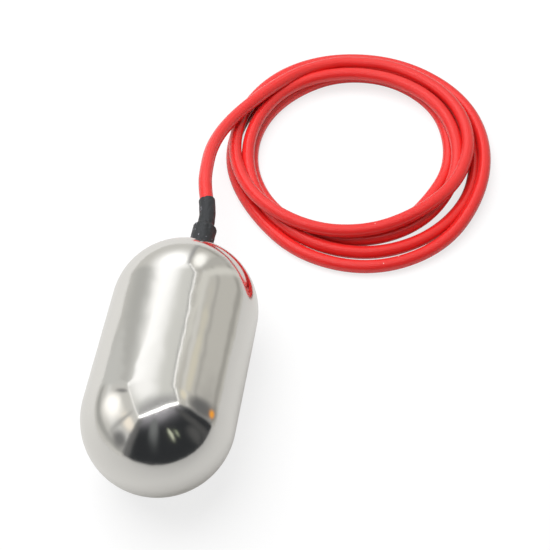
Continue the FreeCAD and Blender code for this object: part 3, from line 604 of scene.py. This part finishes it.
def jacket_material(settings):
    """Silicone jacket with a soft shine and a few pale specks of dust."""
    material, tree, shader = new_material("silicone_jacket", settings.colour, settings.roughness)
    shader.inputs["Subsurface Weight"].default_value = 0.12
    shader.inputs["Subsurface Radius"].default_value = (0.004, 0.001, 0.0005)
    shader.inputs["Subsurface Scale"].default_value = 0.3
    shader.inputs["Coat Weight"].default_value = 0.3
    shader.inputs["Coat Roughness"].default_value = 0.18
    add_unevenness(tree, shader, distance=0.00008, wave_scale=160.0, wave_height=0.8,
                   grain_scale=2500.0, grain_height=0.08, stretch=1.0)
    add_marks(tree, shader, settings.colour, mark=(0.85, 0.55, 0.5), scale=420.0, size=0.2,
              share=0.008)
    return material


class OBJECT_OT_float_cable(bpy.types.Operator):
    """Lays the cable from the sleeve down and round the coil"""
    bl_idname = "float_switch.cable"
    bl_label = "Coiled cable"

    def execute(self, context):
        settings = context.scene.float_cable
        points = cable_route()
        curve = bpy.data.curves.new("silicone_cable", "CURVE")
        curve.dimensions = "3D"
        spline = curve.splines.new("NURBS")
        spline.points.add(len(points) - 1)
        for point, place in zip(spline.points, points):
            point.co = (*place, 1)
        spline.order_u = 3
        spline.use_endpoint_u = True
        spline.resolution_u = 10
        curve.bevel_depth = settings.diameter / 2
        curve.bevel_resolution = 7
        curve.use_fill_caps = True
        material = jacket_material(settings)
        curve.materials.append(material)
        cable = link("silicone_cable", curve)
        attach(cable, FLOAT)
        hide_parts("cable_lead", "cable_coil")
        paint("cable_jacket_end", material)
        return {"FINISHED"}


# ---------------------------------------------------------------- inner pieces

# Colour, roughness and metallic of each finish, and the nodes that wear it.
INNER_FINISHES = {
    "plain_stainless": ((0.60, 0.60, 0.58), 0.28, 1.0,
                        ("weld_backing_ring", "cable_nipple", "pull_stop_ring", "gland_screw",
                         "gland_washer")),
    "zinc_plate": ((0.66, 0.67, 0.68), 0.3, 1.0,
                   ("carrier_lock_screws", "switch_nuts", "switch_screws")),
    "spring_steel": ((0.52, 0.52, 0.53), 0.25, 1.0,
                     ("retaining_clip", "lever_pin", "switch_lever")),
    "ball_steel": ((0.74, 0.75, 0.76), 0.08, 1.0, ("steel_ball",)),
    "natural_moulding": ((0.80, 0.80, 0.76), 0.42, 0.0,
                         ("switch_carrier", "centring_disc", "tube_end_cap")),
    "black_moulding": ((0.035, 0.035, 0.037), 0.4, 0.0, ("switch_case", "switch_cover")),
    "red_moulding": ((0.55, 0.04, 0.03), 0.35, 0.0, ("switch_plunger",)),
    "black_rubber": ((0.03, 0.03, 0.03), 0.7, 0.0, ("seal_bush", "stop_pad")),
    "tab_brass": ((0.78, 0.60, 0.30), 0.3, 1.0,
                  ("terminal_common", "terminal_normally_closed", "terminal_normally_open")),
    "tinned_strand": ((0.72, 0.72, 0.71), 0.3, 1.0, ("tinned_tips",)),
    "brown_insulation": ((0.20, 0.085, 0.035), 0.4, 0.0, ("core_brown", "lead_end_brown")),
    "blue_insulation": ((0.03, 0.12, 0.50), 0.4, 0.0, ("core_blue", "lead_end_blue")),
    "black_insulation": ((0.025, 0.025, 0.025), 0.4, 0.0, ("core_black", "lead_end_black")),
}


class OBJECT_OT_float_inner(bpy.types.Operator):
    """Finishes the gland, the switch, its carrier and the free cores"""
    bl_idname = "float_switch.inner"
    bl_label = "Inner pieces"

    def execute(self, context):
        for name, (colour, roughness, metallic, nodes) in INNER_FINISHES.items():
            material = new_material(name, colour, roughness, metallic)[0]
            for node in nodes:
                paint(node, material)
        return {"FINISHED"}


# ---------------------------------------------------------------- stage

CAMERA_PLACE = Vector((0.0901, -0.2590, 0.5082))
CAMERA_AIM = Vector((0.0353, 0.0794, 0.0))
LAMP_PLACE = Vector((-0.25, 0.25, 0.95))
LAMP_AIM = Vector((0.03, 0.08, 0.0))
LAMP_SIDE = 0.9
FLOOR_HALF = 3.0

# Share of its own white that the floor shows the camera and the mirroring steel, and the warm
# tint of the mirrored part.
SEEN_SHARE = 0.72
MIRRORED_SHARE = 0.5
MIRRORED_TINT = (1, 0.97, 0.90, 1)

# Where the mirrored floor is brighter or dimmer: from one place on X to another by a share of its
# brightness, and from one place on Y to another by a shift.
SIDE_PLACES, SIDE_SHARES = (-0.15, 0.15), (0.42, 0.0)
FRONT_PLACES, FRONT_SHIFTS = (-0.16, -0.02), (-0.15, 0.02)

# The tent's turn towards the camera and its walls, the gap under its front wall, and how far that
# wall stands before the roof.
TENT_TURN = math.radians(30)
TENT_LEFT, TENT_RIGHT, TENT_FRONT, TENT_BACK, TENT_TOP = -0.355, 0.33, -0.20, 0.57, 0.64
FRONT_GAP = 30 * MM
FRONT_WALL = TENT_FRONT - 20 * MM

# Cloth walls of the light tent: two corners on the floor plan, glow of the cloth, and soft
# patches on it as (share along, share up, reach along, reach up, glow).
TENT_WALLS = {
    "tent_back": ((TENT_LEFT, TENT_BACK), (TENT_RIGHT, TENT_BACK), (0.66, 0.65, 0.62), (
        (0.10, 0.55, 0.16, 0.50, (0.50, 0.50, 0.48)), (0.60, 0.80, 0.40, 0.48, (1.55, 1.55, 1.55)),
        (0.99, 0.6, 0.07, 0.9, (0.36, 0.36, 0.36)))),
    "tent_right": ((TENT_RIGHT, TENT_BACK), (TENT_RIGHT, TENT_FRONT), (0.59, 0.575, 0.535), (
        (0.50, 0.08, 0.8, 0.04, (0.40, 0.39, 0.36)), (0.45, 0.66, 0.8, 0.06, (0.74, 0.73, 0.70)),
        (0.50, 0.40, 0.8, 0.035, (0.47, 0.46, 0.43)),
        (0.36, 0.50, 0.03, 0.8, (0.50, 0.49, 0.46)), (0.20, 0.56, 0.14, 0.30, (1.32, 1.31, 1.26)),
        (0.42, 0.40, 0.04, 0.6, (0.52, 0.51, 0.48)), (0.54, 0.45, 0.05, 0.7, (0.76, 0.75, 0.70)),
        (0.80, 0.74, 0.09, 0.10, (0.86, 0.80, 0.64)), (0.70, 0.55, 0.06, 0.08, (0.74, 0.70, 0.58)),
        (0.92, 0.32, 0.11, 0.30, (0.16, 0.16, 0.16)),
        (0.92, 0.12, 0.036, 0.050, (1.15, 0.45, 0.03)))),
    "tent_left": ((TENT_LEFT, TENT_FRONT), (TENT_LEFT, TENT_BACK), (0.67, 0.66, 0.63), (
        (0.50, 0.10, 0.8, 0.05, (0.42, 0.42, 0.40)), (0.50, 0.30, 0.8, 0.07, (0.80, 0.80, 0.78)),
        (0.90, 0.30, 0.12, 0.8, (0.64, 0.64, 0.62)), (0.44, 0.40, 0.18, 0.20, (1.45, 1.42, 1.36)),
        (0.12, 0.56, 0.15, 0.14, (1.12, 1.03, 0.90)), (0.08, 0.22, 0.10, 0.12, (0.20, 0.20, 0.20)),
        (0.20, 0.50, 0.03, 0.4, (0.45, 0.45, 0.44)), (0.66, 0.70, 0.05, 0.22, (0.22, 0.22, 0.22)))),
    "tent_front": ((TENT_RIGHT, FRONT_WALL), (TENT_LEFT, FRONT_WALL), (0.032, 0.034, 0.037), (
        (0.55, 1.0, 0.50, 0.46, (0.40, 0.39, 0.42)), (0.97, 0.4, 0.12, 0.8, (0.16, 0.16, 0.16)),
        (0.62, 0.5, 0.05, 0.3, (0.20, 0.21, 0.21)), (0.47, 0.26, 0.010, 0.075, (1.0, 1.05, 0.80)),
        (0.42, 0.25, 0.008, 0.05, (0.45, 0.5, 0.36)), (0.20, 0.3, 0.06, 0.6, (0.09, 0.09, 0.09)),
        (0.30, 0.14, 0.05, 0.12, (0.10, 0.10, 0.10)))),
}

# Glow of the tent's roof and the patches on it.
ROOF_GLOW = (0.74, 0.74, 0.71)
ROOF_PATCHES = (
    (0.36, 0.62, 0.30, 0.42, (1.15, 1.15, 1.14)), (0.5, 0.0, 0.8, 0.27, (0.40, 0.40, 0.40)),
    (0.45, 1.0, 0.6, 0.22, (1.3, 1.3, 1.3)), (0.965, 0.5, 0.028, 0.7, (0.36, 0.36, 0.35)))

# Lamp strips STRIP_DROP under the roof's edges: two corners on the floor plan, width and glow.
STRIP_DROP = 4 * MM
STRIPS = {
    "front_strip": ((TENT_LEFT, TENT_FRONT), (TENT_RIGHT, TENT_FRONT), 0.028, 4.0),
    "left_strip": ((TENT_LEFT, TENT_FRONT), (TENT_LEFT, TENT_BACK), 0.010, 2.0),
    "right_strip": ((TENT_RIGHT, TENT_FRONT), (TENT_RIGHT, TENT_BACK), 0.012, 2.3),
}


def tent_place(across, away, height):
    """Point of the tent, whose mouth is turned towards the camera, in the scene."""
    return Matrix.Rotation(TENT_TURN, 4, "Z") @ Vector((across, away, height))


def glow_material():
    """Light cloth that only reflections see; how bright it is stands in the mesh."""
    material = bpy.data.materials.new("light_cloth")
    material.use_nodes = True
    tree = material.node_tree
    tree.nodes.clear()
    shade = add_node(tree, "ShaderNodeAttribute", (-200, 0), attribute_name="glow")
    glow = add_node(tree, "ShaderNodeEmission", (0, 0), in_0=shade.outputs["Color"], in_1=1.0)
    end = add_node(tree, "ShaderNodeOutputMaterial", (200, 0))
    connect(tree, glow, end.inputs["Surface"])
    return material


def cloth(name, corner, along, up, base, patches, material, steps=64):
    """Panel of the tent, seen by reflections only, with soft patches of light and shade."""
    vertices, shades, faces = [], [], []
    for row in range(steps + 1):
        for column in range(steps + 1):
            u, v = column / steps, row / steps
            vertices.append(corner + along * u + up * v)
            shade = Vector(base)
            for centre_u, centre_v, reach_u, reach_v, colour in patches:
                far = ((u - centre_u) / reach_u) ** 2 + ((v - centre_v) / reach_v) ** 2
                shade = shade.lerp(Vector(colour), math.exp(-far * far))
            shades.append(shade)
    for row in range(steps):
        for column in range(steps):
            first = row * (steps + 1) + column
            faces.append((first, first + 1, first + steps + 2, first + steps + 1))
    mesh = bpy.data.meshes.new(name)
    mesh.from_pydata(vertices, [], faces)
    layer = mesh.attributes.new("glow", "FLOAT_COLOR", "POINT")
    for item, shade in zip(layer.data, shades):
        item.color = (*shade, 1)
    mesh.materials.append(material)
    made = link(name, mesh)
    made.visible_camera = False
    made.visible_diffuse = False
    made.visible_shadow = False
    made.visible_transmission = False


def pitch_tent():
    """Walls, roof and lamp strips of the light tent."""
    material = glow_material()
    for name, (start, stop, base, patches) in TENT_WALLS.items():
        lift = FRONT_GAP if name == "tent_front" else 0
        foot = tent_place(*start, lift)
        along = tent_place(*stop, lift) - foot
        cloth(name, foot, along, Vector((0, 0, TENT_TOP - lift)), base, patches, material)
    corner = tent_place(TENT_LEFT, TENT_FRONT, TENT_TOP)
    along = tent_place(TENT_RIGHT, TENT_FRONT, TENT_TOP) - corner
    away = tent_place(TENT_LEFT, TENT_BACK, TENT_TOP) - corner
    cloth("tent_roof", corner, along, away, ROOF_GLOW, ROOF_PATCHES, material)
    below = Vector((0, 0, -STRIP_DROP))
    for name, (first, second, width, glow) in STRIPS.items():
        foot = tent_place(*first, TENT_TOP) + below
        run = tent_place(*second, TENT_TOP) + below - foot
        middle = tent_place(0, 0, TENT_TOP) + below
        side = Vector((0, 0, 1)).cross(run).normalized()
        if side.dot(middle - foot) < 0:
            side = -side
        cloth(name, foot, run, side * width, (glow, glow, glow), (), material, steps=1)


def floor_material(settings):
    """Pale floor that keeps the shadows and is white when seen; when mirrored it is greyer."""
    material, tree, shader = new_material("pale_floor", settings.floor_colour, roughness=0.9)
    shader.inputs["Specular IOR Level"].default_value = 0.0
    path = add_node(tree, "ShaderNodeLightPath", (-600, 300))
    mirrored = calculate(tree, "MAXIMUM", path.outputs["Is Glossy Ray"],
                         path.outputs["Is Transmission Ray"])
    share = calculate(tree, "MULTIPLY", path.outputs["Is Camera Ray"], SEEN_SHARE)
    share = calculate(tree, "MULTIPLY_ADD", mirrored, MIRRORED_SHARE, share)
    place = add_node(tree, "ShaderNodeTexCoord", (-900, -300))
    axes = add_node(tree, "ShaderNodeSeparateXYZ", (-700, -300), in_0=place.outputs["Object"])
    side = add_node(tree, "ShaderNodeMapRange", (-500, -300), in_0=axes.outputs[0],
                    in_1=SIDE_PLACES[0], in_2=SIDE_PLACES[1],
                    in_3=settings.mirrored_floor * SIDE_SHARES[0],
                    in_4=settings.mirrored_floor * SIDE_SHARES[1])
    front = add_node(tree, "ShaderNodeMapRange", (-500, -600), in_0=axes.outputs[1],
                     in_1=FRONT_PLACES[0], in_2=FRONT_PLACES[1],
                     in_3=FRONT_SHIFTS[0], in_4=FRONT_SHIFTS[1])
    slope = calculate(tree, "ADD", side, front)
    dim = calculate(tree, "ADD", slope, settings.mirrored_floor - settings.seen_floor)
    strength = calculate(tree, "MULTIPLY_ADD", mirrored, dim, settings.seen_floor)
    tint = add_node(tree, "ShaderNodeMix", (-200, -500), data_type="RGBA", in_0=mirrored,
                    in_6=(1, 1, 1, 1), in_7=MIRRORED_TINT)
    glow = add_node(tree, "ShaderNodeEmission", (0, -300), in_0=tint.outputs[2], in_1=strength)
    mixed = add_node(tree, "ShaderNodeMixShader", (300, 0), in_0=share)
    tree.links.new(shader.outputs[0], mixed.inputs[1])
    tree.links.new(glow.outputs[0], mixed.inputs[2])
    end = next(item for item in tree.nodes if item.type == "OUTPUT_MATERIAL")
    connect(tree, mixed, end.inputs["Surface"])
    return material


def lay_floor(settings):
    """Square floor under the part."""
    half = FLOOR_HALF
    corners = [(-half, -half, 0), (half, -half, 0), (half, half, 0), (-half, half, 0)]
    mesh = bpy.data.meshes.new("floor")
    mesh.from_pydata(corners, [], [(0, 1, 2, 3)])
    mesh.materials.append(floor_material(settings))
    link("floor", mesh)


def surround(scene, settings):
    """World that lights softly and looks white to the camera."""
    world = bpy.data.worlds.new("studio")
    world.use_nodes = True
    scene.world = world
    tree = world.node_tree
    tree.nodes.clear()
    path = add_node(tree, "ShaderNodeLightPath", (-600, 300))
    ambient = add_node(tree, "ShaderNodeBackground", (0, 200), in_0=(1, 1, 1, 1),
                       in_1=settings.world_strength)
    white = add_node(tree, "ShaderNodeBackground", (0, 0), in_0=(1, 1, 1, 1), in_1=1.0)
    mixed = add_node(tree, "ShaderNodeMixShader", (300, 100), in_0=path.outputs["Is Camera Ray"])
    tree.links.new(ambient.outputs[0], mixed.inputs[1])
    tree.links.new(white.outputs[0], mixed.inputs[2])
    end = add_node(tree, "ShaderNodeOutputWorld", (500, 100))
    connect(tree, mixed, end.inputs["Surface"])


def aim(thing, target):
    """Turn a lamp or camera towards a point, upright."""
    thing.rotation_euler = (target - thing.location).to_track_quat("-Z", "Y").to_euler()


def hang_lamp(settings):
    """Soft lamp overhead, which the steel doesn't mirror."""
    lamp = bpy.data.lights.new("overhead", "AREA")
    lamp.shape = "RECTANGLE"
    lamp.size, lamp.size_y = LAMP_SIDE, LAMP_SIDE
    lamp.energy = settings.lamp_power
    overhead = link("overhead", lamp)
    overhead.location = LAMP_PLACE
    aim(overhead, LAMP_AIM)
    overhead.visible_glossy = False


def place_camera(scene, settings):
    """Camera above the capsule's blind end."""
    camera = bpy.data.cameras.new("camera")
    camera.lens = settings.lens
    camera.sensor_width = 36
    camera.clip_start = 0.01
    seen = link("camera", camera)
    seen.location = CAMERA_PLACE
    aim(seen, CAMERA_AIM)
    scene.camera = seen


class OBJECT_OT_float_stage(bpy.types.Operator):
    """Sets up the floor, the light tent and the camera"""
    bl_idname = "float_switch.stage"
    bl_label = "Stage"

    def execute(self, context):
        settings = context.scene.float_stage
        lay_floor(settings)
        surround(context.scene, settings)
        hang_lamp(settings)
        pitch_tent()
        place_camera(context.scene, settings)
        context.scene.view_settings.view_transform = "Standard"
        return {"FINISHED"}


# ---------------------------------------------------------------- panel and start

class VIEW3D_PT_float_switch(bpy.types.Panel):
    """Panel with the settings and the pieces"""
    bl_label = "Float Switch"
    bl_space_type = "VIEW_3D"
    bl_region_type = "UI"
    bl_category = "Float Switch"

    def draw(self, context):
        for holder in SETTINGS:
            box = self.layout.box()
            group = getattr(context.scene, holder)
            box.label(text=group.bl_rna.description)
            for name in group.__annotations__:
                box.prop(group, name)
        for operator in OPERATORS:
            self.layout.operator(operator.bl_idname)


SETTINGS = {"float_capsule": CapsuleSettings, "float_sleeve": SleeveSettings,
            "float_cable": CableSettings, "float_stage": StageSettings}
OPERATORS = (OBJECT_OT_float_capsule, OBJECT_OT_float_sleeve, OBJECT_OT_float_inner,
             OBJECT_OT_float_cable, OBJECT_OT_float_stage)


def register():
    """Register the settings, the operators and the panel."""
    for holder, group in SETTINGS.items():
        bpy.utils.register_class(group)
        setattr(bpy.types.Scene, holder, PointerProperty(type=group))
    for operator in OPERATORS:
        bpy.utils.register_class(operator)
    bpy.utils.register_class(VIEW3D_PT_float_switch)


def unregister():
    """Undo register."""
    bpy.utils.unregister_class(VIEW3D_PT_float_switch)
    for operator in reversed(OPERATORS):
        bpy.utils.unregister_class(operator)
    for holder, group in SETTINGS.items():
        delattr(bpy.types.Scene, holder)
        bpy.utils.unregister_class(group)


def main():
    """Dress the solids and set the stage."""
    register()
    bpy.ops.float_switch.capsule()
    bpy.ops.float_switch.sleeve()
    bpy.ops.float_switch.inner()
    bpy.ops.float_switch.cable()
    bpy.ops.float_switch.stage()


if __name__ == "__main__":
    main()
